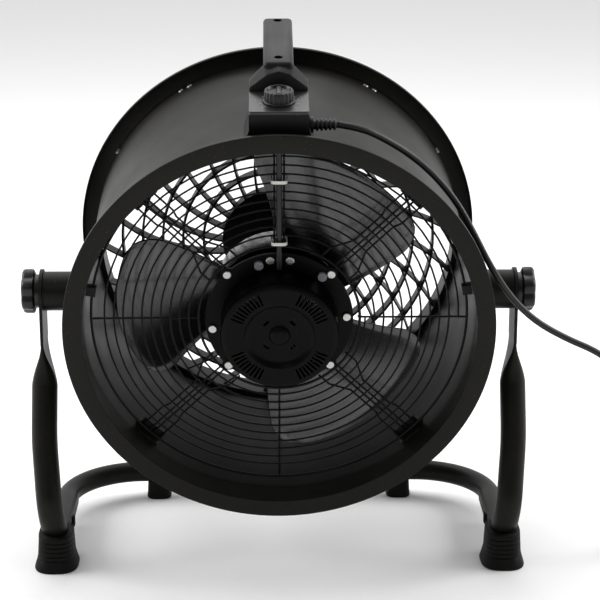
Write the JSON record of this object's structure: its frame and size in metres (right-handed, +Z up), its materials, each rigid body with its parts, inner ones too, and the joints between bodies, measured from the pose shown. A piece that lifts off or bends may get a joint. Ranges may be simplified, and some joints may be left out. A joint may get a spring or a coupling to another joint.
{
  "type": "axial air mover",
  "caption": "Drum fan on a tilting tube stand: wire guard, motor, broad blades, outlet grille, control box with knob, handle, clamp knobs, rubber feet and mains cord.",
  "frame": {"origin": "on the floor under the middle of the object, without its cord", "axes": "+Z up; +X to the right seen from the intake; +Y the way the air leaves"},
  "size_m": [0.7717, 0.3398, 0.5871],
  "materials": {
    "powder_coat": "black satin powder coat",
    "guard_wire": "black coated wire",
    "motor_paint": "black satin paint",
    "blade": "gloss black paint",
    "black_plastic": "fine moulded texture",
    "panel": "smooth satin, printed dial",
    "knob": "satin moulded",
    "rubber": "matte black rubber",
    "cord": "black flexible sheath",
    "screw": "zinc plated",
    "tie": "white nylon",
    "cap": "grey moulded",
    "steel": "machined",
    "board": "circuit board"
  },
  "bodies": {
    "stand": {"leg_left": "powder_coat", "leg_right": "powder_coat", "rear_tube": "powder_coat", "foot_left": "rubber", "foot_right": "rubber", "rear_pad_left": "rubber", "rear_pad_right": "rubber", "rail_screws": "screw", "cord_lower": "cord", "cord_coil": "cord", "power_plug": "cord"},
    "drum": {"drum_shell": "powder_coat", "rim_front": "powder_coat", "rim_rear": "powder_coat", "drum_rivets": "screw", "intake_guard": "guard_wire", "guard_brackets": "powder_coat", "bracket_bolts": "screw", "guard_clips": "black_plastic", "motor_flange": "motor_paint", "motor_housing": "motor_paint", "motor_end_bell": "motor_paint", "motor_rear_shell": "motor_paint", "motor_stator": "steel", "motor_bearings": "steel", "flange_screws": "screw", "flange_caps": "cap", "motor_cable": "cord", "cable_ties": "tie", "outlet_grille": "black_plastic", "grille_screws": "screw", "control_box": "black_plastic", "control_panel": "panel", "potentiometer": "steel", "controller_board": "board", "capacitor": "cap", "handle": "black_plastic", "handle_screws": "screw", "strain_relief": "cord", "pivot_spacer_left": "powder_coat", "pivot_spacer_right": "powder_coat", "cord_upper": "cord"},
    "impeller": {"impeller": "blade", "motor_rotor": "steel", "impeller_nut": "screw"},
    "speed_knob": {"speed_knob": "knob", "knob_shaft": "steel"},
    "clamp_left": {"clamp_knob_left": "knob", "clamp_stud_left": "screw"},
    "clamp_right": {"clamp_knob_right": "knob", "clamp_stud_right": "screw"}
  },
  "joints": [
    {"name": "drum_tilt", "type": "hinge", "parent": "stand", "child": "drum", "pos_m": [0, -0.02152, 0.3], "axis": [1, 0, 0], "range_deg": [-42, 78]},
    {"name": "impeller_spin", "type": "hinge", "parent": "drum", "child": "impeller", "pos_m": [0, -0.06456, 0.29085], "axis": [0, 0.9781, 0.2079], "continuous": true},
    {"name": "speed_dial", "type": "hinge", "parent": "drum", "child": "speed_knob", "pos_m": [0, -0.12661, 0.52507], "axis": [0, -0.2079, 0.9781], "range_deg": [-270, 0]},
    {"name": "clamp_left_turn", "type": "hinge", "parent": "drum", "child": "clamp_left", "pos_m": [-0.26, -0.02152, 0.3], "axis": [-1, 0, 0], "range_deg": [0, 360]},
    {"name": "clamp_right_turn", "type": "hinge", "parent": "drum", "child": "clamp_right", "pos_m": [0.26, -0.02152, 0.3], "axis": [1, 0, 0], "range_deg": [0, 360]}
  ]
}
